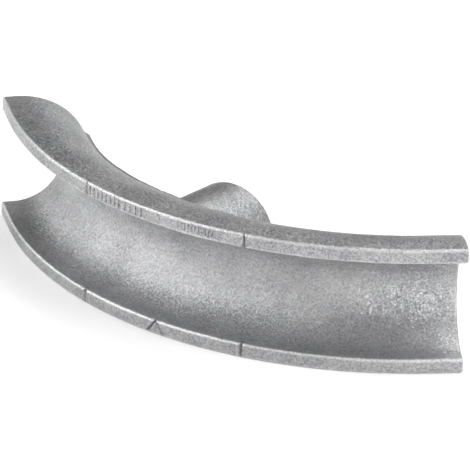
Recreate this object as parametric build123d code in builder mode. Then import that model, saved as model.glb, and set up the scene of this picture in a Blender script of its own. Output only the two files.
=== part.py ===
from build123d import *
from math import sin, cos, radians
import os

os.makedirs("parts", exist_ok=True)

# Bending former for 35 mm conduit, lying on its side: +Z up, the groove opens
# towards -Y, and the ram comes in from +Y. The origin is on the axis of the ram
# socket, where its guiding bore starts. All sizes are in millimetres.

# Bend and groove
conduit_diameter = 35.0
groove_clearance = 0.1
bend_radius = 130.0
wall_height = 4.0
bend_sweep = 82.0
lead_out = 12.0

# Shell section
wall_thickness = 5.2
flat_land = 4.7
shell_depth = 25.7
band_height = 1.6
band_middle_half_width = 13.6
band_end_half_width = 3.2
band_end_step = 1.2
rim_edge_radius = 1.0
lip_edge_radius = 0.8
end_edge_radius = 0.8

# Boss on the back of the bend
boss_end_radius = 16.7
boss_draft = 3.5
boss_length = 27.0
boss_end_to_centre = 89.0
boss_root_fillet = 3.0
boss_end_fillet = 1.2

# Ram socket
socket_chamfer = 1.0
socket_radius = 10.0
bush_wall = 2.0
guide_length = 8.5
relief_depth = 0.3
bush_length = 14.5
pad_thickness = 2.5
pad_chamfer = 0.4

# Ball detent across the lower wall of the boss; heights are from the ram axis
detent_y = -11.5
ball_radius = 2.0
ball_tip_height = 9.2
ball_clearance = 0.05
cup_radius = 2.5
cup_front = 10.45
cup_length = 6.0
cup_floor = 0.75
cup_edge = 0.2
lip_length = 0.3
lip_front_radius = 1.87
lip_back_radius = 1.97
wire_radius = 0.175
coil_radius = 1.5
coil_turns = 4
coil_gap = 0.04

# Index notches across both rims
notch_angles = (-14.0, 0.0, 14.0)
notch_depth = 0.5
notch_half_width = 0.45

# Derived sizes
groove_radius = conduit_diameter / 2 + groove_clearance
half_width = groove_radius + wall_thickness
rim_radius = bend_radius + wall_height
land_radius = rim_radius - flat_land
centre_y = socket_chamfer + boss_end_to_centre
half_sweep = bend_sweep / 2
band_lead_out = lead_out - band_end_step
band_reach = (land_radius - shell_depth / 2) * sin(radians(half_sweep)) + lead_out
bush_radius = socket_radius + bush_wall
socket_floor = -bush_length - pad_thickness
ball_height = ball_tip_height + ball_radius
bend_axis = Axis((0, centre_y, 0), (0, 0, 1))


def bend_plane(angle):
    """Section plane at an angle from -Y about the bend axis: x outwards, y up."""
    outwards = (sin(radians(angle)), -cos(radians(angle)), 0)
    backwards = (-cos(radians(angle)), -sin(radians(angle)), 0)
    return Plane(origin=(0, centre_y, 0), x_dir=outwards, z_dir=backwards)


def ram_plane(y):
    """Plane square to the ram axis at y, facing into the socket."""
    return Plane(origin=(0, y, 0), x_dir=(1, 0, 0), z_dir=(0, -1, 0))


def detent_plane(height):
    """Plane square to the detent's axis, at a height below the ram axis."""
    return Plane(origin=(0, detent_y, -height), x_dir=(1, 0, 0), z_dir=(0, 0, -1))


# Section of the solid shell: x is the distance from the bend axis, y the height.
with BuildSketch() as shell_profile:
    with BuildLine():
        Line((land_radius, -half_width), (rim_radius, -half_width))
        Line((rim_radius, -half_width), (rim_radius, half_width))
        Line((rim_radius, half_width), (land_radius, half_width))
        EllipticalCenterArc(
            (land_radius, 0), shell_depth, half_width, start_angle=90, arc_size=180
        )
    make_face()
    fillet(shell_profile.vertices().group_by(Axis.X)[-1], radius=rim_edge_radius)

# Section of the low raised band along the back, cut from a larger ellipse.
with BuildSketch() as band_profile:
    with Locations((land_radius, 0)):
        Ellipse(shell_depth + band_height, half_width + band_height)
    with Locations((land_radius - shell_depth, 0)):
        Rectangle(shell_depth, 2 * band_middle_half_width, mode=Mode.INTERSECT)

# Section of the groove's cutter, which also rounds the lips of both rims.
with BuildSketch() as groove_profile:
    with Locations((bend_radius, 0)):
        Circle(groove_radius)
    with Locations((rim_radius, 0)):
        Rectangle(2 * wall_height, 2 * groove_radius)
    with Locations((rim_radius + wall_height / 2, 0)):
        Rectangle(wall_height, 3 * half_width)
    lips = groove_profile.vertices().sort_by_distance((rim_radius, 0))[0:2]
    fillet(lips, radius=lip_edge_radius)

# The band, widest at the boss and narrower towards both ends.
with BuildPart() as back_band:
    for angle, length in ((-half_sweep, band_lead_out), (half_sweep, -band_lead_out)):
        with BuildSketch(bend_plane(angle)):
            add(band_profile.sketch)
        extrude(amount=length)
    with BuildSketch(bend_plane(-half_sweep)):
        add(band_profile.sketch)
    revolve(axis=bend_axis, revolution_arc=bend_sweep)
    with BuildSketch(ram_plane(centre_y)):
        with BuildLine():
            for side in (-1, 1):
                ThreePointArc(
                    (-band_reach, side * band_end_half_width),
                    (0, side * band_middle_half_width),
                    (band_reach, side * band_end_half_width),
                )
                Line(
                    (side * band_reach, -band_end_half_width),
                    (side * band_reach, band_end_half_width),
                )
        make_face()
    extrude(amount=2 * centre_y, mode=Mode.INTERSECT)

# The former. Its solid shell is swept round the bend, with a straight lead-out
# at each end, and the boss is added before the groove is cut through both.
with BuildPart() as former_casting:
    for angle, length in ((-half_sweep, lead_out), (half_sweep, -lead_out)):
        with BuildSketch(bend_plane(angle)):
            add(shell_profile.sketch)
        extrude(amount=length)
    with BuildSketch(bend_plane(-half_sweep)):
        add(shell_profile.sketch)
    revolve(axis=bend_axis, revolution_arc=bend_sweep)

    with BuildSketch(ram_plane(socket_chamfer)):
        Circle(boss_end_radius)
    extrude(amount=boss_length, taper=-boss_draft)
    fillet(former_casting.edges(Select.NEW), radius=boss_root_fillet)
    boss_face = former_casting.faces().sort_by_distance((0, socket_chamfer, 0))[0]
    fillet(boss_face.edges(), radius=boss_end_fillet)

    add(back_band.part)

    for angle, length in ((-half_sweep, lead_out), (half_sweep, -lead_out)):
        with BuildSketch(bend_plane(angle)):
            add(groove_profile.sketch)
        extrude(amount=2 * length, mode=Mode.SUBTRACT)
    with BuildSketch(bend_plane(-half_sweep)):
        add(groove_profile.sketch)
    revolve(axis=bend_axis, revolution_arc=bend_sweep, mode=Mode.SUBTRACT)

    for side in (0, -1):
        upright_faces = former_casting.faces().filter_by_position(Axis.Z, -1, 1)
        end_face = upright_faces.filter_by(GeomType.PLANE).sort_by(Axis.X)[side]
        fillet(end_face.edges(), radius=end_edge_radius)

    for angle in notch_angles:
        with BuildSketch(Plane(bend_plane(angle).origin, bend_plane(angle).x_dir, (0, 0, 1))):
            with BuildLine():
                Polyline(
                    (rim_radius - notch_depth, 0),
                    (rim_radius + notch_depth, 2 * notch_half_width),
                    (rim_radius + notch_depth, -2 * notch_half_width),
                    close=True,
                )
            make_face()
        extrude(amount=half_width, both=True, mode=Mode.SUBTRACT)

    with BuildSketch(ram_plane(socket_chamfer)):
        Circle(bush_radius)
    extrude(amount=socket_chamfer - socket_floor, mode=Mode.SUBTRACT)
    with BuildSketch(detent_plane(socket_radius)):
        Circle(cup_radius)
    extrude(amount=socket_radius, mode=Mode.SUBTRACT)

former_casting.part.label = "former_casting"
export_step(former_casting.part, "parts/former_casting.step")

# Steel guide bush pressed into the boss: chamfered mouth, guiding bore, and a
# relieved inner end where the detent ball stands out of the wall.
with BuildPart() as ram_bush:
    with BuildSketch(Plane.YZ):
        with BuildLine():
            Polyline(
                (socket_chamfer, bush_radius),
                (socket_chamfer, socket_radius + socket_chamfer),
                (0, socket_radius),
                (-guide_length, socket_radius),
                (-guide_length - relief_depth, socket_radius + relief_depth),
                (-bush_length, socket_radius + relief_depth),
                (-bush_length, bush_radius),
                close=True,
            )
        make_face()
    revolve(axis=Axis.Y)
    with BuildSketch(detent_plane(socket_radius)):
        Circle(cup_radius)
    extrude(amount=socket_radius, mode=Mode.SUBTRACT)

ram_bush.part.label = "ram_bush"
export_step(ram_bush.part, "parts/ram_bush.step")

# Hardened pad at the socket's floor, which takes the thrust of the ram.
with BuildPart() as thrust_pad:
    with BuildSketch(ram_plane(-bush_length)):
        Circle(bush_radius)
    extrude(amount=pad_thickness)
    chamfer(thrust_pad.edges().group_by(Axis.Y)[0], length=pad_chamfer)

thrust_pad.part.label = "thrust_pad"
export_step(thrust_pad.part, "parts/thrust_pad.step")

# Closed cup of the ball detent, pressed through the boss and the bush. Its
# front lip is narrower than the ball and keeps it in.
with BuildPart() as detent_cup:
    with BuildSketch(Plane.YZ):
        with BuildLine():
            Polyline(
                (detent_y, -cup_front - cup_length),
                (detent_y + cup_radius - cup_edge, -cup_front - cup_length),
                (detent_y + cup_radius, -cup_front - cup_length + cup_edge),
                (detent_y + cup_radius, -cup_front),
                (detent_y + lip_front_radius, -cup_front),
                (detent_y + lip_back_radius, -cup_front - lip_length),
                (detent_y + ball_radius + ball_clearance, -cup_front - lip_length),
                (detent_y + ball_radius + ball_clearance, -cup_front - cup_length + cup_floor),
                (detent_y, -cup_front - cup_length + cup_floor),
                close=True,
            )
        make_face()
    revolve(axis=Axis((0, detent_y, 0), (0, 0, 1)))

detent_cup.part.label = "detent_cup"
export_step(detent_cup.part, "parts/detent_cup.step")

# Ball that snaps into the groove round the ram's end.
with BuildPart() as detent_ball:
    with Locations((0, detent_y, -ball_height)):
        Sphere(ball_radius)

detent_ball.part.label = "detent_ball"
export_step(detent_ball.part, "parts/detent_ball.step")

# Compression spring between the ball and the floor of the cup. Its first coil
# stands off the ball by the gap, measured along the line between their centres.
coil_reach = ball_radius + wire_radius + coil_gap
coil_top = ball_height + (coil_reach**2 - coil_radius**2) ** 0.5
coil_bottom = cup_front + cup_length - cup_floor - wire_radius - coil_gap
coil_height = coil_bottom - coil_top
with BuildPart() as detent_spring:
    with BuildLine():
        coil = Helix(
            pitch=coil_height / coil_turns,
            height=coil_height,
            radius=coil_radius,
            center=(0, detent_y, -coil_bottom),
        )
    with BuildSketch(Plane(origin=coil @ 0, z_dir=coil % 0)):
        Circle(wire_radius)
    sweep(is_frenet=True)

detent_spring.part.label = "detent_spring"
export_step(detent_spring.part, "parts/detent_spring.step")
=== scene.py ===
import math
import bmesh
import bpy
import numpy as np
from mathutils import Matrix, Vector


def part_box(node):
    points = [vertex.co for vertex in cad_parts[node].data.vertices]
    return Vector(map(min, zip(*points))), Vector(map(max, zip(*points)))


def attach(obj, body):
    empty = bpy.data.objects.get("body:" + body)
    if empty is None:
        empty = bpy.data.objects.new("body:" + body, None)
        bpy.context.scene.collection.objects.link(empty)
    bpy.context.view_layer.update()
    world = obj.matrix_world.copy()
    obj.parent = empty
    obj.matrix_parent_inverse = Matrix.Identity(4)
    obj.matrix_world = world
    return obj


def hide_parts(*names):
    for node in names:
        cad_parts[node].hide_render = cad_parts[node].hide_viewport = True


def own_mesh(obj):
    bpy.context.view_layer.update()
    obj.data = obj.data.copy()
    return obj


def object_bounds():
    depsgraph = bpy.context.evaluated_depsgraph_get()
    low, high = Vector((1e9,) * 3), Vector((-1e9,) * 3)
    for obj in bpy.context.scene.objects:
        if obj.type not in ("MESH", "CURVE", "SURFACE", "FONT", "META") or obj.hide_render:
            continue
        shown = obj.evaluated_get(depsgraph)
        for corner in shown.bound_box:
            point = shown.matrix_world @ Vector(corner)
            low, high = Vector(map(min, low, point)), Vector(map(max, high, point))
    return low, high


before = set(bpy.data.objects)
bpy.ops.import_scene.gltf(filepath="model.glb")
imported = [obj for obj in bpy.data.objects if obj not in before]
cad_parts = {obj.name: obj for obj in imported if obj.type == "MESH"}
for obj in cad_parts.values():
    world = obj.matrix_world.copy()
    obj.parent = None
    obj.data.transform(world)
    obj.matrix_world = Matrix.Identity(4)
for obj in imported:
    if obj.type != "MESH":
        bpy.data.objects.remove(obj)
cadLow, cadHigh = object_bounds()
formerLow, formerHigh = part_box("former_casting")
padLow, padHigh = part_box("thrust_pad")
print("frame loaded:", sorted(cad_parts))

mm = 0.001

# the casting, in millimetres and degrees; what the frame knows is read from it
former = {
    "wall": 5.2,
    "wallHeight": 4.0,
    "flatLand": 4.7,
    "shellDepth": 25.7,
    "bandHeight": 1.3,
    "bandMiddle": 16.7,
    "bandEnd": 4.5,
    "bandEdge": 1.1,
    "bandEndStep": 1.2,
    "rimRadius": 134.0,
    "halfSweep": 41.0,
    "leadOut": 12.0,
    "rimEdge": 1.0,
    "lipEdge": 0.8,
    "endEdge": 0.7,
    "bossRadius": 16.7,
    "bossDraft": 3.5,
    "rootFillet": 3.0,
    "bossEdge": 1.2,
    "boreChamfer": 0.3,
    "stationStep": 0.83,
    "edgePoints": 6,
    "backColumns": (26, 7, 28, 7, 26),  # between the lands and the band's edges
    "bossOpening": (13.2, 68),  # half angle round the bend, half ellipse angle
    "waves": ((0.10, 14.0), (0.035, 2.2)),  # depth and length of waviness, orange peel
    # reach of the brighter rim edges, partly wear and partly painted highlight
    "brightEdgeReach": 0.9,
    "glintAt": (39, -5),  # angle round the bend, height
    "glintSpread": (8, 5),
    "sharpAngle": 50,
}
former["halfWidth"] = (formerHigh.z - formerLow.z) / 2 / mm
former["centreY"] = formerLow.y / mm + former["rimRadius"]
former["grooveRadius"] = former["halfWidth"] - former["wall"]
former["bendRadius"] = former["rimRadius"] - former["wallHeight"]
former["landRadius"] = former["rimRadius"] - former["flatLand"]
former["boreRadius"] = (padHigh.x - padLow.x) / 2 / mm
former["bossEnd"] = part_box("ram_bush")[1].y / mm
former["boreFloor"] = padLow.y / mm

# index marks cut in the rims: a line each side on both, an arrow in the middle of the
# lower one, and on the upper one a shallow sunk panel between two angles
marks = {
    "lineAngle": 14.0,
    "lineDepth": 0.55,
    "lineHalfWidth": 0.55,
    "burr": 0.16,
    "chipDepth": 0.6,
    "chipLength": 1.7,
    "arrowSlope": 0.74,
    "arrowReach": 4.4,
    "arrowDepth": 0.6,
    "arrowHalfWidth": 0.55,
    "panel": (2.8, 9.7),
    "panelHeight": 3.9,
    "panelDepth": 0.35,
}


def runTo(start, stop, count):
    # straight run from start towards stop, without its last point
    t = np.linspace(0, 1, count, endpoint=False)[:, None]
    return np.array(start) * (1 - t) + np.array(stop) * t


def turnTo(centre, radii, fromAngle, toAngle, count):
    # elliptical turn about centre, without its last point
    a = np.radians(np.linspace(fromAngle, toAngle, count, endpoint=False))
    return np.array(centre) + np.stack([radii[0] * np.cos(a), radii[1] * np.sin(a)], 1)


def backRadius(f, tilt):
    # bare ellipse behind the shell: distance from the bend axis at an ellipse angle
    return f["landRadius"] - f["shellDepth"] * np.cos(np.radians(tilt))


def bandHalfWidth(f, x):
    # the raised band along the back is widest at the boss and narrows as a parabola
    reach = backRadius(f, 60) * math.sin(math.radians(f["halfSweep"])) + f["leadOut"]
    narrowing = f["bandMiddle"] - f["bandEnd"]
    return f["bandMiddle"] - narrowing * np.minimum(np.abs(x) / reach, 1) ** 2


def bandStep(f, x, z, lead=0.0):
    # how far the band stands out at (x, z), with soft edges and ends
    side = np.clip((bandHalfWidth(f, x) - np.abs(z)) / f["bandEdge"] + 0.5, 0, 1)
    end = np.clip((f["leadOut"] - f["bandEndStep"] - np.abs(lead)) / f["bandEdge"], 0, 1)
    soft = side * side * (3 - 2 * side) * end * end * (3 - 2 * end)
    return f["bandHeight"] * (1 + 0.25 * (z / f["bandMiddle"]) ** 2) * soft


def backTilts(f, angle, lead):
    # ellipse angles across the back, one row for each station, from the upper land to
    # the lower one; some lie close together where the band's edges are
    x = backRadius(f, 60) * np.sin(np.radians(angle)) + lead * np.cos(np.radians(angle))
    edge = np.degrees(np.arcsin(bandHalfWidth(f, x) / f["halfWidth"]))
    near = np.degrees(f["bandEdge"] / f["halfWidth"])
    knots = [90 + 0 * edge, edge + near, edge - near, near - edge, -near - edge, -90 + 0 * edge]
    counts = f["backColumns"]
    runs = [np.linspace(a, b, n, endpoint=False) for a, b, n in zip(knots, knots[1:], counts)]
    return np.vstack(runs + [knots[-1][None]]).T


def sectionLoop(f):
    # Closed section of the channel as (distance from the bend axis, height): up the
    # lower rim, round the groove, up the upper rim and back round the outside.
    rim, hw, groove = f["rimRadius"], f["halfWidth"], f["grooveRadius"]
    bend, land = f["bendRadius"], f["landRadius"]
    edge, lip, n = f["rimEdge"], f["lipEdge"], f["edgePoints"]
    lowerFace = [runTo((rim, -hw + edge), (rim, -groove - lip), 14)]
    inside = [
        turnTo((rim - lip, -groove - lip), (lip, lip), 0, 90, n),
        runTo((rim - lip, -groove), (bend, -groove), 5),
        turnTo((bend, 0), (groove, groove), -90, -270, sum(f["backColumns"]) + 2),
        runTo((bend, groove), (rim - lip, groove), 5),
        turnTo((rim - lip, groove + lip), (lip, lip), -90, 0, n),
    ]
    upperFace = [runTo((rim, groove + lip), (rim, hw - edge), 14)]
    outside = [
        turnTo((rim - edge, hw - edge), (edge, edge), 0, 90, n),
        runTo((rim - edge, hw), (land, hw), n),
        turnTo((land, 0), (f["shellDepth"], hw), 90, 270, sum(f["backColumns"])),
        runTo((land, -hw), (rim - edge, -hw), n),
        turnTo((rim - edge, -hw + edge), (edge, edge), -90, 0, n),
    ]
    parts = [np.vstack(p) for p in (lowerFace, inside, upperFace, outside)]
    starts = np.cumsum([0] + [len(p) for p in parts])
    points = np.vstack(parts)
    along = np.roll(points, -1, 0) - np.roll(points, 1, 0)
    along /= np.linalg.norm(along, axis=1)[:, None]
    outwards = np.stack([along[:, 1], -along[:, 0]], 1)
    return points, outwards, starts


def place(f, angle, lead, radius, height):
    # Section point to space: out along the radius at angle from -Y about the bend
    # axis, then along the tangent by the signed lead-out.
    a = np.radians(angle)
    x = radius * np.sin(a) + lead * np.cos(a)
    y = f["centreY"] - radius * np.cos(a) + lead * np.sin(a)
    return np.stack([x, y, height + 0 * x], -1)


def stationsAlong(f, m):
    # (angle, lead, inset) of each section: even steps round the bend with close ones
    # at the marks, the straight lead-outs, and a rounded edge at both ends.
    step = math.degrees(f["stationStep"] / (f["bendRadius"] - f["grooveRadius"] / 2))
    angles = np.arange(-f["halfSweep"], f["halfSweep"], step)
    unit = math.degrees(1 / f["rimRadius"])
    lines = m["lineAngle"]
    for centre, reach, fine in ((-lines, 1.4, 0.2), (0, m["arrowReach"], 0.25), (lines, 1.4, 0.2)):
        angles = angles[np.abs(angles - centre) > (reach + fine) * unit]
        angles = np.append(angles, centre + np.arange(-reach, reach + fine / 2, fine) * unit)
    angles = np.append(np.sort(angles), f["halfSweep"])
    straight = f["leadOut"] - f["endEdge"]
    leads = np.linspace(0, straight, int(straight / f["stationStep"]) + 1)[1:]
    turn = np.radians(np.linspace(0, 90, 7))[1:]
    leads = np.append(leads, straight + f["endEdge"] * np.sin(turn))
    insets = np.append(np.zeros(len(leads) - len(turn)), f["endEdge"] * (1 - np.cos(turn)))
    ends = np.full(len(leads), f["halfSweep"])
    return (
        np.concatenate([-ends, angles, ends]),
        np.concatenate([-leads[::-1], 0 * angles, leads]),
        np.concatenate([insets[::-1], 0 * angles, insets]),
    )


def grooveCut(across, depth, halfWidth, burr):
    # V-shaped cut with a small burr thrown up on each side of it
    cut = depth * np.clip(1 - across / halfWidth, 0, 1)
    return cut - burr * np.clip(1 - np.abs(across - 1.5 * halfWidth) / (0.6 * halfWidth), 0, 1)


def lineDepth(f, m, angle, height):
    # depth of the index lines and the arrow below the rim's face
    fromLip = np.abs(height) - f["grooveRadius"]
    along = np.radians(angle) * f["rimRadius"]
    chip = np.clip(1 - fromLip / m["chipLength"], 0, 1)
    fromLine = np.abs(np.abs(along) - math.radians(m["lineAngle"]) * f["rimRadius"])
    halfWidth = m["lineHalfWidth"] * (1 + chip)
    depth = grooveCut(fromLine, m["lineDepth"] + m["chipDepth"] * chip, halfWidth, m["burr"])
    slope = m["arrowSlope"]
    offArrow = np.abs(np.abs(along) - slope * (fromLip - 0.4)) / math.hypot(1, slope)
    arrow = grooveCut(offArrow, m["arrowDepth"] + m["chipDepth"] * chip, m["arrowHalfWidth"], m["burr"])
    return depth + np.where(height < 0, arrow, 0)


def markDepth(f, m, angle, height):
    # the lines together with the sunk panel
    depth = lineDepth(f, m, angle, height)
    fromLip = np.abs(height) - f["grooveRadius"]
    inPanel = np.clip((np.minimum(angle - m["panel"][0], m["panel"][1] - angle)) * 3, 0, 1)
    inPanel = inPanel * np.clip((m["panelHeight"] - fromLip) * 3, 0, 1)
    return depth + np.where(height > 0, m["panelDepth"] * inPanel, 0)


def shellPoint(f, angle, tilt):
    # point on the outside of the shell, band included, at an ellipse angle
    radius = backRadius(f, tilt)
    height = f["halfWidth"] * np.sin(np.radians(tilt))
    x = radius * np.sin(np.radians(angle))
    return place(f, angle, 0, radius - bandStep(f, x, height), height)


def shellY(f, x, z):
    # height of the shell's back over the plane square to the ram's axis
    t = np.arcsin(np.clip(z / f["halfWidth"], -1, 1))
    radius = f["landRadius"] - f["shellDepth"] * np.cos(t)
    return f["centreY"] - np.sqrt(radius**2 - x**2)


def bossRadiusAt(f, y):
    return f["bossRadius"] + (f["bossEnd"] - y) * math.tan(math.radians(f["bossDraft"]))


def bossRows(f, edgeAngle, edgeTilt):
    # Rows of points round the boss, from the edge of the opening left in the shell,
    # over the root fillet, up the drafted side and down the bore to its floor.
    rim = shellPoint(f, edgeAngle, edgeTilt)
    around = np.arctan2(rim[:, 2], rim[:, 0])
    c, s = np.cos(around), np.sin(around)
    r = np.full_like(around, f["bossRadius"])
    for _ in range(12):
        r = bossRadiusAt(f, shellY(f, r * c, r * s))
    foot = np.stack([r * c, shellY(f, r * c, r * s), r * s], 1)
    distance = np.hypot(foot[:, 0], f["centreY"] - foot[:, 1])
    slope = 2 * (distance - f["landRadius"]) / f["shellDepth"] ** 2 / distance
    shellNormal = np.stack(
        [slope * foot[:, 0], -slope * (f["centreY"] - foot[:, 1]), 2 * foot[:, 2] / f["halfWidth"] ** 2], 1
    )
    shellNormal /= np.linalg.norm(shellNormal, axis=1)[:, None]
    draft = math.radians(f["bossDraft"])
    sideNormal = np.stack([c * math.cos(draft), 0 * c + math.sin(draft), s * math.cos(draft)], 1)
    turn = np.arccos(np.clip((shellNormal * sideNormal).sum(1), -1, 1))
    reach = f["rootFillet"] * np.tan(turn / 2)
    fall = shellY(f, (r + 0.1) * c, (r + 0.1) * s) - shellY(f, r * c, r * s)
    outer = r + reach / np.hypot(1, fall / 0.1)
    outerTilt = np.degrees(np.arcsin(outer * s / f["halfWidth"]))
    outerDistance = f["landRadius"] - f["shellDepth"] * np.cos(np.radians(outerTilt))
    outerAngle = np.degrees(np.arcsin(outer * c / outerDistance))
    rows = []
    for t in np.linspace(0, 1, 9):
        eased = t * (1.5 - 0.5 * t)
        rows.append(
            shellPoint(
                f,
                edgeAngle * (1 - eased) + outerAngle * eased,
                edgeTilt * (1 - eased) + outerTilt * eased,
            )
        )
    low = rows[-1]
    inward = np.stack([-foot[:, 0], f["centreY"] - foot[:, 1], 0 * c], 1) / distance[:, None]
    foot += inward * bandStep(f, foot[:, 0], foot[:, 2])[:, None]
    topY = foot[:, 1] + reach * math.cos(draft)
    topR = bossRadiusAt(f, topY)
    top = np.stack([topR * c, topY, topR * s], 1)
    for t in np.linspace(0, 1, 8)[1:]:
        rows.append(low * (1 - t) ** 2 + 2 * foot * t * (1 - t) + top * t**2)
    sideEnd = f["bossEnd"] - f["bossEdge"]
    for t in np.linspace(0, 1, 25)[1:]:
        y = topY * (1 - t) + sideEnd * t
        radius = bossRadiusAt(f, y)
        rows.append(np.stack([radius * c, y, radius * s], 1))
    radius = bossRadiusAt(f, sideEnd)
    profile = [
        (radius - f["bossEdge"] * (1 - math.cos(t)), sideEnd + f["bossEdge"] * math.sin(t))
        for t in np.radians(np.linspace(0, 90, 7))[1:]
    ]
    face = radius - f["bossEdge"]
    mouth = f["boreRadius"] + f["boreChamfer"]
    profile += [(face + (mouth - face) * t, f["bossEnd"]) for t in (0.25, 0.5, 0.75, 1)]
    profile += [(f["boreRadius"], f["bossEnd"] - f["boreChamfer"])]
    depths = np.linspace(f["bossEnd"] - f["boreChamfer"], f["boreFloor"], 10)[1:]
    profile += [(f["boreRadius"], y) for y in depths]
    profile += [(f["boreRadius"] * t, f["boreFloor"]) for t in (0.75, 0.5, 0.25, 0)]
    for radius, y in profile:
        rows.append(np.stack([radius * c, 0 * c + y, radius * s], 1))
    return np.array(rows)


def gridFaces(count, columns, offset, closed):
    # quads of a grid stored row by row, starting at offset
    i, j = np.meshgrid(np.arange(count - 1), np.arange(columns - (not closed)), indexing="ij")
    k = (j + 1) % columns
    quads = np.stack([i * columns + j, i * columns + k, (i + 1) * columns + k, (i + 1) * columns + j], -1)
    return quads.reshape(-1, 4) + offset


def latticeNoise(points, size, seed):
    # smooth value noise: hashed numbers on a lattice of that size, eased in between
    primes = np.array([73856093, 19349663, 83492791])
    cell = np.floor(points / size).astype(np.int64)
    part = points / size - cell
    part = part * part * (3 - 2 * part)
    total = np.zeros(len(points))
    for corner in np.ndindex(2, 2, 2):
        key = (cell + np.array(corner)) * primes
        mixed = key[:, 0] ^ key[:, 1] ^ key[:, 2] ^ (seed * 2654435761)
        mixed = (mixed ^ (mixed >> 13)) * 1274126177
        value = ((mixed ^ (mixed >> 16)) & 0xFFFF) / 32767.5 - 1
        weight = np.prod(np.where(np.array(corner) == 1, part, 1 - part), axis=1)
        total += weight * value
    return total


def meshPiece(name, points, faces, body):
    # one welded, outward-facing mesh from points in millimetres
    mesh = bpy.data.meshes.new(name)
    mesh.from_pydata((points * mm).tolist(), [], faces.tolist())
    work = bmesh.new()
    work.from_mesh(mesh)
    bmesh.ops.remove_doubles(work, verts=work.verts, dist=1e-6)
    bmesh.ops.recalc_face_normals(work, faces=work.faces)
    work.to_mesh(mesh)
    work.free()
    mesh.polygons.foreach_set("use_smooth", np.ones(len(mesh.polygons), bool))
    piece = bpy.data.objects.new(name, mesh)
    bpy.context.collection.objects.link(piece)
    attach(piece, body)
    return piece


def readPoints(mesh):
    points = np.empty(len(mesh.vertices) * 3, np.float32)
    mesh.vertices.foreach_get("co", points)
    return points.reshape(-1, 3).astype(float) / mm


def writePoints(mesh, points):
    mesh.vertices.foreach_set("co", (points * mm).astype(np.float32).ravel())
    mesh.update()


def sectionOf(f, points):
    # back from space to (distance from the bend axis, height) of the section
    x, y = points[:, 0], f["centreY"] - points[:, 1]
    angle = np.clip(np.degrees(np.arctan2(x, y)), -f["halfSweep"], f["halfSweep"])
    a = np.radians(angle)
    return x * np.sin(a) + y * np.cos(a), points[:, 2]


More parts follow.
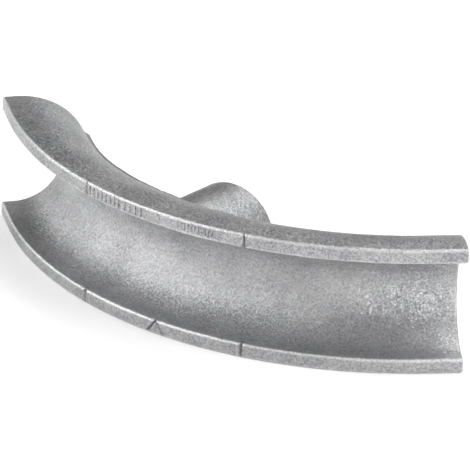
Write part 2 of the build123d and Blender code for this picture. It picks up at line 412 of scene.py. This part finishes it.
def buildFormer(f, m):
    loop, outwards, starts = sectionLoop(f)
    angle, lead, inset = stationsAlong(f, m)
    radius = loop[None, :, 0] - inset[:, None] * outwards[None, :, 0]
    height = loop[None, :, 1] - inset[:, None] * outwards[None, :, 1]
    cut = markDepth(f, m, angle[:, None], height)
    onRim = radius > f["rimRadius"] - f["rimEdge"]
    fromFace = np.clip((radius - f["rimRadius"]) / f["rimEdge"] + 1, 0, 1)
    radius = np.where(onRim & (cut > 0), np.minimum(radius, f["rimRadius"] - cut), radius)
    radius = np.where(onRim & (cut < 0), radius - cut * fromFace, radius)

    # the back's columns move to the band's edges, and the band is raised there
    tilt = backTilts(f, angle, lead)
    firstBack = starts[3] + 2 * f["edgePoints"]
    back = slice(firstBack, firstBack + sum(f["backColumns"]))
    bare = backRadius(f, tilt)
    bareHeight = f["halfWidth"] * np.sin(np.radians(tilt))
    x = bare * np.sin(np.radians(angle))[:, None] + (lead * np.cos(np.radians(angle)))[:, None]
    raised = bare - bandStep(f, x, bareHeight, lead[:, None])
    t = np.radians(tilt)
    normal = np.stack([-np.cos(t) / f["shellDepth"], np.sin(t) / f["halfWidth"]])
    normal /= np.linalg.norm(normal, axis=0)
    radius[:, back] = (raised - inset[:, None] * normal[0])[:, :-1]
    height[:, back] = (bareHeight - inset[:, None] * normal[1])[:, :-1]
    shell = place(f, angle[:, None], lead[:, None], radius, height)
    rows, columns = shell.shape[:2]
    faces = gridFaces(rows, columns, 0, True).reshape(rows - 1, columns, 4)

    # the opening for the boss, as whole cells of the grid on the shell's back
    ellipse = firstBack + np.arange(tilt.shape[1])
    openAngle, openTilt = f["bossOpening"]
    inTilt = np.flatnonzero(np.abs(tilt[len(tilt) // 2]) <= openTilt)
    inAngle = np.flatnonzero((np.abs(angle) <= openAngle) & (lead == 0))
    i0, i1, j0, j1 = inAngle[0], inAngle[-1], ellipse[inTilt[0]], ellipse[inTilt[-1]]
    keep = np.ones((rows - 1, columns), bool)
    keep[i0:i1, j0:j1] = False
    sideI, sideJ = np.arange(i0, i1), np.arange(inTilt[0], inTilt[-1])
    fullI, fullJ = np.ones_like(sideI), np.ones_like(sideJ)
    edgeI = np.concatenate([sideI, fullJ * i1, sideI[::-1] + 1, fullJ * i0])
    edgeJ = np.concatenate([fullI * inTilt[0], sideJ, fullI * inTilt[-1], sideJ[::-1] + 1])
    boss = bossRows(f, angle[edgeI], tilt[edgeI, edgeJ])

    # flat end faces, between the groove's edge and the outside's
    inner = np.arange(starts[1], starts[2] + 1)
    outer = np.append(starts[0] + columns, np.arange(starts[0] + columns - 1, starts[3] - 1, -1)) % columns
    across = np.linspace(0, 1, 15)[None, :, None]
    points, allFaces = [shell.reshape(-1, 3), boss.reshape(-1, 3)], [faces[keep]]
    allFaces.append(gridFaces(*boss.shape[:2], rows * columns, True))
    offset = rows * columns + boss.shape[0] * boss.shape[1]
    for end in (0, rows - 1):
        cap = shell[end, inner][:, None] * (1 - across) + shell[end, outer][:, None] * across
        # its first and last rows are the edges of the rims' faces
        cap[0] = shell[end, np.arange(starts[1], starts[0] - 1, -1)]
        cap[-1] = shell[end, starts[2] : starts[3] + 1]
        points.append(cap.reshape(-1, 3))
        allFaces.append(gridFaces(*cap.shape[:2], offset, False))
        offset += cap.shape[0] * cap.shape[1]
    piece = meshPiece("formerCasting", np.vstack(points), np.vstack(allFaces), "former")
    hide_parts("former_casting")

    # as-cast surface: the two waves, along the normals, but not in the bore
    mesh = piece.data
    co = readPoints(mesh)
    normals = np.empty(len(mesh.vertices) * 3, np.float32)
    mesh.vertex_normals.foreach_get("vector", normals)
    normals = normals.reshape(-1, 3)
    (deep, long), (fine, short) = f["waves"]
    rough = deep * latticeNoise(co, long, 1) + fine * latticeNoise(co, short, 2)
    inBore = np.hypot(co[:, 0], co[:, 2]) < f["boreRadius"] + 1.5
    inBore &= co[:, 1] > f["boreFloor"] - 1
    rough[inBore] = 0
    writePoints(mesh, co + normals * rough[:, None])

    # the detent's hole through the boss, the size and place of the cup pressed in it
    cupLow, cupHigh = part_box("detent_cup")
    length, proud = 10 * mm, 0.2 * mm
    bpy.ops.mesh.primitive_cylinder_add(
        vertices=48,
        radius=(cupHigh.x - cupLow.x) / 2,
        depth=length,
        location=(0, (cupLow.y + cupHigh.y) / 2, cupHigh.z + proud - length / 2),
    )
    drill = bpy.context.object
    bore = piece.modifiers.new("bore", "BOOLEAN")
    bore.operation, bore.solver, bore.object = "DIFFERENCE", "EXACT", drill
    bpy.context.view_layer.update()
    drilled = piece.evaluated_get(bpy.context.evaluated_depsgraph_get())
    mesh = bpy.data.meshes.new_from_object(drilled)
    piece.modifiers.remove(bore)
    piece.data = mesh
    bpy.data.objects.remove(drill)
    mesh.polygons.foreach_set("use_smooth", np.ones(len(mesh.polygons), bool))
    mesh.set_sharp_from_angle(angle=math.radians(f["sharpAngle"]))

    # For the material: how close each point is to a rim edge, coloured brighter as partly wear
    # and partly painted highlight; whether it is inside the groove, on the band along the back that is
    # given painted shade, or in a cut mark; and where grains glint most.
    co = readPoints(mesh)
    distance, z = sectionOf(f, co)
    # the rim edges coloured brighter: partly wear, partly painted highlight
    wornAndHighlit = np.zeros(len(co))
    for corner in (f["halfWidth"], f["grooveRadius"]):
        gap = np.hypot(distance - f["rimRadius"], np.abs(z) - corner)
        wornAndHighlit = np.maximum(wornAndHighlit, np.clip(1.2 - gap / f["brightEdgeReach"], 0, 1))
    fromGroove = np.hypot(distance - f["bendRadius"], z) - f["grooveRadius"]
    inGroove = np.clip((0.5 - fromGroove) / 0.3, 0, 1) * (distance < f["rimRadius"] - 0.2)
    # painted shade: the band along the back, off the boss, is coloured darker
    insideBand = bandHalfWidth(f, co[:, 0]) - np.abs(z)
    bandShadeMask = np.clip(insideBand / f["bandEdge"] + 0.9, 0, 1)
    offBoss = np.hypot(co[:, 0], z) > f["bossRadius"] + f["rootFillet"]
    onBack = offBoss & (distance < f["landRadius"] - 10) & (inGroove == 0)
    # painted highlight: a bright line along the band's edge on the back, added to the brighter rim edges
    bandLine = np.clip(1.3 - np.abs(insideBand + 1.2) / 0.7, 0, 1)
    wornAndHighlit = np.maximum(wornAndHighlit, 0.9 * bandLine * onBack)
    turn = np.degrees(np.arctan2(co[:, 0], f["centreY"] - co[:, 1]))
    nearFace = distance > f["rimRadius"] - 1.6
    # the cut lines and the arrow are coloured darker, by how deep they are cut
    markMask = np.clip(lineDepth(f, m, turn, z) / m["lineDepth"], 0, 1) * nearFace
    (glintTurn, glintZ), (spreadTurn, spreadZ) = f["glintAt"], f["glintSpread"]
    offGlint = ((turn - glintTurn) / spreadTurn) ** 2 + ((z - glintZ) / spreadZ) ** 2
    glint = inGroove * np.exp(-offGlint)
    fields = {"wearAndHighlight": wornAndHighlit, "groove": inGroove, "band": bandShadeMask * onBack, "markMask": markMask, "glint": glint}
    for name, values in fields.items():
        mesh.attributes.new(name, "FLOAT", "POINT").data.foreach_set("value", values.astype(np.float32))
    print("former casting:", len(mesh.polygons), "faces")
    return piece


casting = buildFormer(former, marks)


# raised plain bars on the upper rim; each row is first and last angle, count, half
# width, length and how far its ground is sunk
castBars = {
    "height": 0.34,
    "sunk": 0.25,
    "centre": 2.55,
    "split": 0.22,
    "squareness": 0.6,
    "rows": (
        (-13.3, -7.3, 8, 0.48, 3.6, 0.0),
        (-6.1, -3.1, 4, 0.48, 3.4, 0.0),
        (-0.8, -0.8, 1, 2.90, 3.2, 0.0),
        (3.4, 9.0, 11, 0.28, 3.0, 0.35),
    ),
}


def buildBars(f, bars):
    # Each bar is a half-round ridge with rounded ends: across it a super-ellipse,
    # and along it the same curve stretched to the bar's length.
    circle, halfCircle = np.linspace(-180, 180, 25), np.linspace(-90, 90, 17)
    u, v = np.meshgrid(np.radians(circle), np.radians(halfCircle), indexing="ij")
    soft = lambda w: np.sign(w) * np.abs(w) ** bars["squareness"]
    girth = soft(np.cos(v))
    unit = np.stack([girth * soft(np.cos(u)), girth * soft(np.sin(u)), soft(np.sin(v))], -1)
    points, faces = [], []
    for first, last, count, halfWidth, length, ground in bars["rows"]:
        for k, angle in enumerate(np.linspace(first, last, count)):
            # every third bar is split in two
            shift = length / 4 + bars["split"] / 2 if k % 3 == 1 else 0
            for middle in (-shift, shift) if shift else (0,):
                half = length / 4 - bars["split"] / 2 if shift else length / 2
                size = np.array([halfWidth, (bars["height"] + bars["sunk"]) / 2, half])
                local = unit * size
                radius = f["rimRadius"] - ground + (bars["height"] - bars["sunk"]) / 2 + local[..., 1]
                turn = angle + np.degrees(local[..., 0] / f["rimRadius"])
                height = f["halfWidth"] - bars["centre"] + middle + local[..., 2]
                faces.append(gridFaces(*u.shape, u.size * len(points), False))
                points.append(place(f, turn, 0, radius, height).reshape(-1, 3))
    return meshPiece("castBars", np.vstack(points), np.vstack(faces), "former")


barPiece = buildBars(former, castBars)
print("cast bars made")


# the detent's spring
coil = {"wire": 0.175, "turns": 4, "keep": 0.66}


def buildSpring(c):
    # Wire wound on a helix of radius R and rise p for each radian; round the helix the
    # wire is a circle in the plane of the radius and the binormal, closed at both ends.
    low, high = (np.array(corner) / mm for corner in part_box("detent_spring"))
    middle, wire = (low + high) / 2, c["wire"]
    big = (high[0] - low[0]) / 2 - wire
    turns = 2 * math.pi * c["turns"]
    rise = (high[2] - low[2] - 2 * wire) / turns
    a = np.concatenate([[0], np.linspace(0, turns, 48 * c["turns"] + 1), [turns]])[:, None]
    size = np.concatenate([[0], np.full(len(a) - 2, wire), [0]])[:, None]
    u = np.linspace(0, 2 * math.pi, 12, endpoint=False)[None]
    across, along = big + size * np.cos(u), size * np.sin(u) / math.hypot(big, rise)
    x = middle[0] + across * np.cos(a) + along * rise * np.sin(a)
    y = middle[1] + across * np.sin(a) - along * rise * np.cos(a)
    z = low[2] + wire + rise * a + along * big
    points = np.stack([x, y, z], -1).reshape(-1, 3)
    faces = gridFaces(len(a), 12, 0, True)
    piece = meshPiece("detentSpring", points, faces, "former")
    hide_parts("detent_spring")
    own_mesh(piece)
    return piece


springPiece = buildSpring(coil)
print("detent spring made")


# materials

def newMaterial(name):
    material = bpy.data.materials.new(name)
    material.use_nodes = True
    nodes, links = material.node_tree.nodes, material.node_tree.links
    return material, nodes, links, nodes["Principled BSDF"]


def noiseNode(nodes, links, coords, size, detail, rough=0.5):
    # noise whose features are about size millimetres
    node = nodes.new("ShaderNodeTexNoise")
    node.inputs["Scale"].default_value = 1 / (size * mm)
    node.inputs["Detail"].default_value = detail
    node.inputs["Roughness"].default_value = rough
    links.new(coords, node.inputs["Vector"])
    return node.outputs["Fac"]


def mapRange(nodes, links, value, low, high, toLow, toHigh):
    node = nodes.new("ShaderNodeMapRange")
    links.new(value, node.inputs["Value"])
    for socket, number in (("From Min", low), ("From Max", high), ("To Min", toLow), ("To Max", toHigh)):
        node.inputs[socket].default_value = number
    return node.outputs["Result"]


def mathNode(nodes, links, operation, a, b):
    node = nodes.new("ShaderNodeMath")
    node.operation = operation
    for socket, value in zip(node.inputs, (a, b)):
        if isinstance(value, (int, float)):
            socket.default_value = value
        else:
            links.new(value, socket)
    return node.outputs[0]


def weighted(nodes, links, *pairs):
    # sum of the values, each times its share
    parts = [mathNode(nodes, links, "MULTIPLY", value, share) for value, share in pairs]
    total = parts[0]
    for part in parts[1:]:
        total = mathNode(nodes, links, "ADD", total, part)
    return total


def vectorMath(nodes, links, operation, a, b=None, scale=None):
    node = nodes.new("ShaderNodeVectorMath")
    node.operation = operation
    links.new(a, node.inputs[0])
    if isinstance(b, tuple):
        node.inputs[1].default_value = b
    elif b is not None:
        links.new(b, node.inputs[1])
    if scale is not None:
        links.new(scale, node.inputs["Scale"])
    return node.outputs[0]


def colourMix(nodes, links, factor, a, b):
    # a and b are sockets or plain colours
    node = nodes.new("ShaderNodeMix")
    node.data_type = "RGBA"
    links.new(factor, node.inputs["Factor"])
    for name, value in (("A", a), ("B", b)):
        if isinstance(value, tuple):
            node.inputs[name].default_value = (*value, 1)
        else:
            links.new(value, node.inputs[name])
    return node.outputs["Result"]


def bumpNode(nodes, links, heightSocket, depth, strength, normal=None):
    node = nodes.new("ShaderNodeBump")
    node.inputs["Strength"].default_value = strength
    node.inputs["Distance"].default_value = depth * mm
    links.new(heightSocket, node.inputs["Height"])
    if normal is not None:
        links.new(normal, node.inputs["Normal"])
    return node.outputs["Normal"]


blasted = {
    "dark": (0.27, 0.273, 0.28),
    "light": (0.55, 0.55, 0.555),
    "outerDark": (0.235, 0.238, 0.245),
    "outerLight": (0.50, 0.50, 0.505),
    # brighter rim edges, partly wear and partly painted highlight; also the painted highlight line on the
    # band's edge
    "wornAndHighlit": (0.70, 0.70, 0.70),
    # painted shade on the band along the back
    "bandShadeTone": 0.5,
    # how much darker the cut lines and the arrow are coloured
    "markTone": 0.6,
    "shares": (0.6, 0.25, 0.25),  # of grain, fine grain and clouds in the mottle
    "outerSpan": (0.45, 0.65),
    "span": (0.40, 0.70),
    "grainSize": 0.75,
    "grainDepth": 0.10,
    "fineSize": 0.32,
    "fineDepth": 0.035,
    "cloudSize": 18.0,
    "facetSize": 0.48,
    "facetTilt": (0.27, 0.26),
    "glintTilt": 0.6,
    "roughness": (0.40, 0.60),
}


def blastedAluminium(b):
    # Grey mottled metal with a blasted grain. Small facets tilt the surface at random,
    # so that single grains glint; in the groove the grain is finer than outside.
    material, nodes, links, shader = newMaterial("blastedAluminium")
    coords = nodes.new("ShaderNodeTexCoord").outputs["Object"]
    fields = {}
    for name in ("wearAndHighlight", "groove", "band", "markMask", "glint"):
        node = nodes.new("ShaderNodeAttribute")
        node.attribute_name = name
        fields[name] = node.outputs["Fac"]
    grain = noiseNode(nodes, links, coords, b["grainSize"], 3.0, 0.65)
    fine = noiseNode(nodes, links, coords, b["fineSize"], 2.0, 0.7)
    cloud = noiseNode(nodes, links, coords, b["cloudSize"], 3.0, 0.5)
    mixed = weighted(nodes, links, *zip((grain, fine, cloud), b["shares"]))

    # colour: outside and groove, brighter rim edges (partly wear, partly painted highlight) and the
    # painted highlight on the band's edge, then the band's painted shade and the darker marks
    outside = mapRange(nodes, links, mixed, *b["outerSpan"], 0.0, 1.0)
    inside = mapRange(nodes, links, mixed, *b["span"], 0.0, 1.0)
    outside = colourMix(nodes, links, outside, b["outerDark"], b["outerLight"])
    inside = colourMix(nodes, links, inside, b["dark"], b["light"])
    colour = colourMix(nodes, links, fields["groove"], outside, inside)
    # partly wear, partly painted highlight: the rim edges and the band's edge line are lighter
    scuff = mapRange(nodes, links, grain, 0.35, 0.65, 0.55, 1.0)
    scuff = mathNode(nodes, links, "MULTIPLY", fields["wearAndHighlight"], scuff)
    colour = colourMix(nodes, links, scuff, colour, b["wornAndHighlit"])
    # painted shade on the band along the back
    bandShade = mapRange(nodes, links, fields["band"], 0.0, 1.0, 1.0, b["bandShadeTone"])
    # the cut lines and the arrow are coloured darker
    markDarkening = mapRange(nodes, links, fields["markMask"], 0.0, 1.0, 1.0, b["markTone"])
    shade = mathNode(nodes, links, "MULTIPLY", bandShade, markDarkening)
    colour = vectorMath(nodes, links, "SCALE", colour, scale=shade)
    links.new(colour, shader.inputs["Base Color"])
    links.new(mapRange(nodes, links, fine, 0.3, 0.7, *b["roughness"]), shader.inputs["Roughness"])
    shader.inputs["Metallic"].default_value = 1.0

    # normal: two bumps, then each facet's own tilt
    coarse = bumpNode(nodes, links, grain, b["grainDepth"], 0.9)
    bumped = bumpNode(nodes, links, fine, b["fineDepth"], 0.8, coarse)
    facets = nodes.new("ShaderNodeTexVoronoi")
    facets.inputs["Scale"].default_value = 1 / (b["facetSize"] * mm)
    links.new(coords, facets.inputs["Vector"])
    facetTilt = mapRange(nodes, links, fields["groove"], 0.0, 1.0, *b["facetTilt"])
    glintTilt = mathNode(nodes, links, "MULTIPLY", fields["glint"], b["glintTilt"])
    facetTilt = mathNode(nodes, links, "ADD", facetTilt, glintTilt)
    tilted = vectorMath(nodes, links, "SUBTRACT", facets.outputs["Color"], (0.5, 0.5, 0.5))
    tilted = vectorMath(nodes, links, "SCALE", tilted, scale=facetTilt)
    tilted = vectorMath(nodes, links, "ADD", tilted, bumped)
    links.new(vectorMath(nodes, links, "NORMALIZE", tilted), shader.inputs["Normal"])
    return material


# the steels: dark and light tone, roughness, and sizes of their patterns
turnedFinish = {
    "tones": ((0.33, 0.33, 0.34), (0.55, 0.55, 0.56)),
    "roughness": (0.22, 0.42),
    "ringSize": 0.22,
    "stainSize": 3.0,
    "ringDepth": 0.02,
}
groundFinish = {
    "tones": ((0.22, 0.22, 0.235), (0.44, 0.44, 0.46)),
    "roughness": (0.18, 0.4),
    "lineSize": 0.15,
    "lineStretch": 0.06,
    "scuffSize": 1.6,
    "lineDepth": 0.01,
}
wireFinish = {
    "tones": ((0.30, 0.30, 0.31), (0.52, 0.52, 0.53)),
    "roughness": (0.25, 0.4),
    "drawSize": 0.2,
}


def steelShader(name, finish, pattern):
    # metal whose tone, roughness and relief follow what pattern makes of the coordinates
    material, nodes, links, shader = newMaterial(name)
    coords = nodes.new("ShaderNodeTexCoord").outputs["Object"]
    tone, gloss, relief = pattern(nodes, links, coords)
    tone = mapRange(nodes, links, tone, 0.35, 0.65, 0.0, 1.0)
    links.new(colourMix(nodes, links, tone, *finish["tones"]), shader.inputs["Base Color"])
    links.new(mapRange(nodes, links, gloss, 0.3, 0.7, *finish["roughness"]), shader.inputs["Roughness"])
    shader.inputs["Metallic"].default_value = 1.0
    if relief is not None:
        links.new(relief, shader.inputs["Normal"])
    return material


def turnedSteel(t):
    # fine rings round the ram axis, as a lathe leaves them: noise of (distance, y)
    def pattern(nodes, links, coords):
        split = nodes.new("ShaderNodeSeparateXYZ")
        squash = nodes.new("ShaderNodeCombineXYZ")
        links.new(coords, split.inputs[0])
        x, z = split.outputs["X"], split.outputs["Z"]
        square = weighted(nodes, links, (x, x), (z, z))
        links.new(mathNode(nodes, links, "SQRT", square, 0.0), squash.inputs["X"])
        links.new(split.outputs["Y"], squash.inputs["Y"])
        rings = noiseNode(nodes, links, squash.outputs[0], t["ringSize"], 2.0, 0.5)
        stain = noiseNode(nodes, links, coords, t["stainSize"], 3.0, 0.6)
        tone = weighted(nodes, links, (rings, 0.6), (stain, 0.4))
        return tone, stain, bumpNode(nodes, links, rings, t["ringDepth"], 0.5)

    return steelShader("turnedSteel", t, pattern)


def groundSteel(g):
    # darker hardened steel with fine straight grinding lines and small scuffs
    def pattern(nodes, links, coords):
        stretch = nodes.new("ShaderNodeMapping")
        stretch.inputs["Scale"].default_value = (1.0, g["lineStretch"], g["lineStretch"])
        links.new(coords, stretch.inputs["Vector"])
        lines = noiseNode(nodes, links, stretch.outputs[0], g["lineSize"], 2.0, 0.6)
        scuff = noiseNode(nodes, links, coords, g["scuffSize"], 4.0, 0.65)
        tone = weighted(nodes, links, (lines, 0.5), (scuff, 0.5))
        return tone, scuff, bumpNode(nodes, links, lines, g["lineDepth"], 0.4)

    return steelShader("groundSteel", g, pattern)


def springSteel(w):
    # drawn wire, faintly mottled
    def pattern(nodes, links, coords):
        draw = noiseNode(nodes, links, coords, w["drawSize"], 3.0, 0.6)
        return draw, draw, None

    return steelShader("springWire", w, pattern)


def paint(piece, material):
    piece.data.materials.clear()
    piece.data.materials.append(material)


aluminium = blastedAluminium(blasted)
turned, ground = turnedSteel(turnedFinish), groundSteel(groundFinish)
wire = springSteel(wireFinish)
paint(casting, aluminium)
paint(barPiece, aluminium)
paint(springPiece, wire)
for name, material in (
    ("ram_bush", turned),
    ("detent_cup", turned),
    ("thrust_pad", ground),
    ("detent_ball", ground),
    ("detent_spring", wire),
):
    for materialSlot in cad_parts[name].material_slots:
        materialSlot.material = material
print("materials made")


# floor, lights and camera

studio = {
    "floorSize": 6.0,
    "floorColour": (0.98, 0.98, 0.98),
    "floorMottle": 60.0,
    "floorRoughness": 0.9,
    "distance": 1.5,
    "lampSize": 0.7,
    "lamps": (
        # azimuth from the front towards the right, elevation, power; a fit made by
        # another program chose these lamps from a grid of directions and set the powers
        (300, 45, 5.12),
        (330, 45, 4.25),
        (345, 25, 3.89),
        (180, 65, 6.15),
        (300, 8, 4.59),
        (105, 25, 7.62),
        (60, 8, 4.35),
        (45, 25, 2.56),
        (150, 45, 5.80),
        (90, 65, 3.38),
        (195, 25, 2.77),
        (255, 25, 2.32),
        (285, 25, 1.86),
        (330, 8, 1.97),
        (45, 65, 1.54),
        (90, 8, 4.88),
        (15, 25, 1.06),
    ),
}


def buildStudio(s):
    half = s["floorSize"] / 2
    mesh = bpy.data.meshes.new("studioFloor")
    corners = [(-half, -half, 0), (half, -half, 0), (half, half, 0), (-half, half, 0)]
    mesh.from_pydata(corners, [], [(0, 1, 2, 3)])
    mesh.transform(Matrix.Translation((0, 0, cadLow.z)))
    floor = bpy.data.objects.new("studioFloor", mesh)
    bpy.context.collection.objects.link(floor)
    material, nodes, links, shader = newMaterial("floorPaper")
    coords = nodes.new("ShaderNodeTexCoord").outputs["Object"]
    soft = noiseNode(nodes, links, coords, s["floorMottle"], 2.0)
    low = tuple(c * 0.99 for c in s["floorColour"])
    links.new(colourMix(nodes, links, soft, low, s["floorColour"]), shader.inputs["Base Color"])
    shader.inputs["Roughness"].default_value = s["floorRoughness"]
    shader.inputs["Specular IOR Level"].default_value = 0.1
    paint(floor, material)
    for number, (azimuth, elevation, power) in enumerate(s["lamps"]):
        turn, rise = math.radians(azimuth), math.radians(elevation)
        across = math.cos(rise)
        data = bpy.data.lights.new("lamp%d" % number, "AREA")
        data.shape = "DISK"
        data.size = s["lampSize"]
        data.energy = power
        lamp = bpy.data.objects.new("lamp%d" % number, data)
        position = Vector((math.sin(turn) * across, -math.cos(turn) * across, math.sin(rise)))
        position *= s["distance"]
        lamp.location = position
        lamp.rotation_euler = (-position).to_track_quat("-Z", "Y").to_euler()
        bpy.context.collection.objects.link(lamp)
    world = bpy.data.worlds.new("studioWorld")
    world.use_nodes = True
    world.node_tree.nodes["Background"].inputs["Color"].default_value = (1, 1, 1, 1)
    world.node_tree.nodes["Background"].inputs["Strength"].default_value = 0.0
    bpy.context.scene.world = world
    bpy.context.scene.view_settings.view_transform = "Standard"


view = {
    "azimuth": 34.88,
    "elevation": 25.85,
    "roll": 1.71,
    "target": (0.00156, -0.00079, -0.00173),
    "distance": 1.699,
    "lens": 383.0,
}


def buildCamera(v):
    # looks at the target from azimuth and elevation, turned a little about its axis
    a, e, r = (math.radians(v[k]) for k in ("azimuth", "elevation", "roll"))
    back = Vector((math.sin(a) * math.cos(e), -math.cos(a) * math.cos(e), math.sin(e)))
    level = Vector((math.cos(a), math.sin(a), 0))
    upright = back.cross(level)
    right = level * math.cos(r) + upright * math.sin(r)
    up = upright * math.cos(r) - level * math.sin(r)
    data = bpy.data.cameras.new("camera")
    data.lens = v["lens"]
    data.clip_end = 20
    camera = bpy.data.objects.new("camera", data)
    rotation = Matrix((right, up, back)).transposed().to_4x4()
    camera.matrix_world = Matrix.Translation(Vector(v["target"]) + back * v["distance"]) @ rotation
    bpy.context.collection.objects.link(camera)
    bpy.context.scene.camera = camera


buildStudio(studio)
buildCamera(view)
print("studio and camera made")
